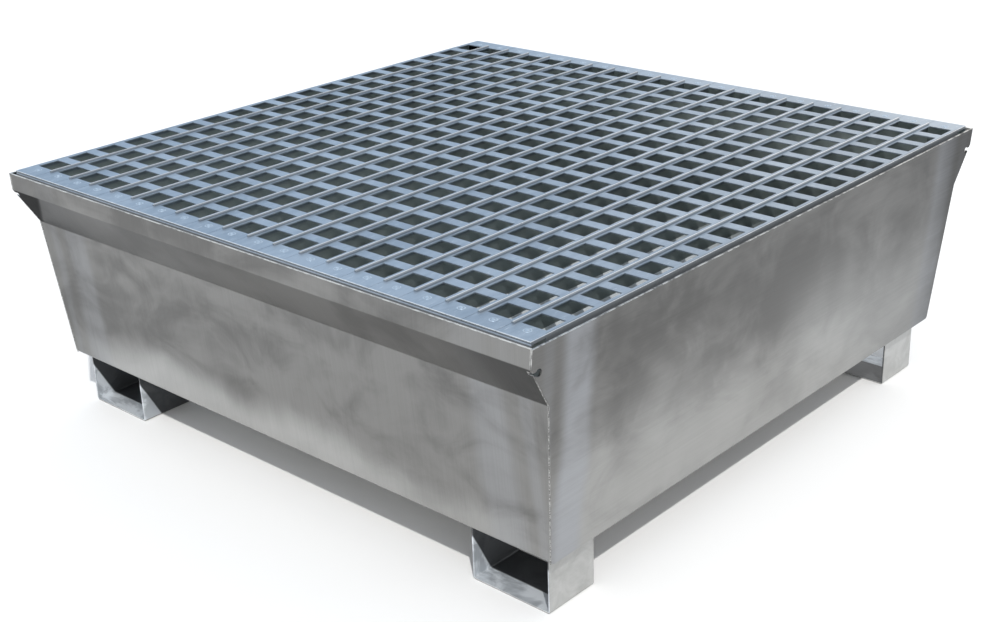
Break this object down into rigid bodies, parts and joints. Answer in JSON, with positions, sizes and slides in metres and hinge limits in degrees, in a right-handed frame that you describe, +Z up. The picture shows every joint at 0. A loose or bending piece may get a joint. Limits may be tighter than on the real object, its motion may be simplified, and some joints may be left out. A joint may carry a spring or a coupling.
{
  "type": "spill containment pallet",
  "caption": "Square stainless spill pallet: folded sump with flared rims and end plates, channel feet, and a lift-off deck of perforated planks.",
  "frame": {"origin": "on the ground below the middle of the pallet", "axes": "+Z up; the deck planks run along Y between the folded front (-Y) and back (+Y) walls; the end plates close the left (-X) and right (+X) ends"},
  "size_m": [1.22, 1.216, 0.4688],
  "materials": {
    "sump_steel": "cold-rolled stainless sheet, faint brushing, cloudy soft reflections",
    "deck_steel": "galvanised sheet, cool blue-grey, satin",
    "foot_steel": "bright satin sheet"
  },
  "bodies": {
    "sump": {"sump_body_sheet": "sump_steel", "end_plate_left": "sump_steel", "end_plate_right": "sump_steel", "foot_front_left": "foot_steel", "foot_front_right": "foot_steel", "foot_back_left": "foot_steel", "foot_back_right": "foot_steel"},
    "deck": {"deck_plank_01": "deck_steel", "deck_plank_02": "deck_steel", "deck_plank_03": "deck_steel", "deck_plank_04": "deck_steel", "deck_plank_05": "deck_steel", "deck_plank_06": "deck_steel", "deck_plank_07": "deck_steel", "deck_plank_08": "deck_steel", "deck_plank_09": "deck_steel", "deck_plank_10": "deck_steel", "deck_plank_11": "deck_steel", "deck_plank_12": "deck_steel", "deck_plank_13": "deck_steel", "deck_plank_14": "deck_steel", "deck_plank_15": "deck_steel", "deck_plank_16": "deck_steel", "deck_plank_17": "deck_steel", "deck_plank_18": "deck_steel", "deck_plank_19": "deck_steel", "deck_plank_20": "deck_steel", "deck_front_rail": "deck_steel", "deck_back_rail": "deck_steel"}
  },
  "joints": [
    {"name": "deck_lift", "type": "slide", "parent": "sump", "child": "deck", "axis": [0, 0, 1], "range_m": [0, 0.25]}
  ]
}
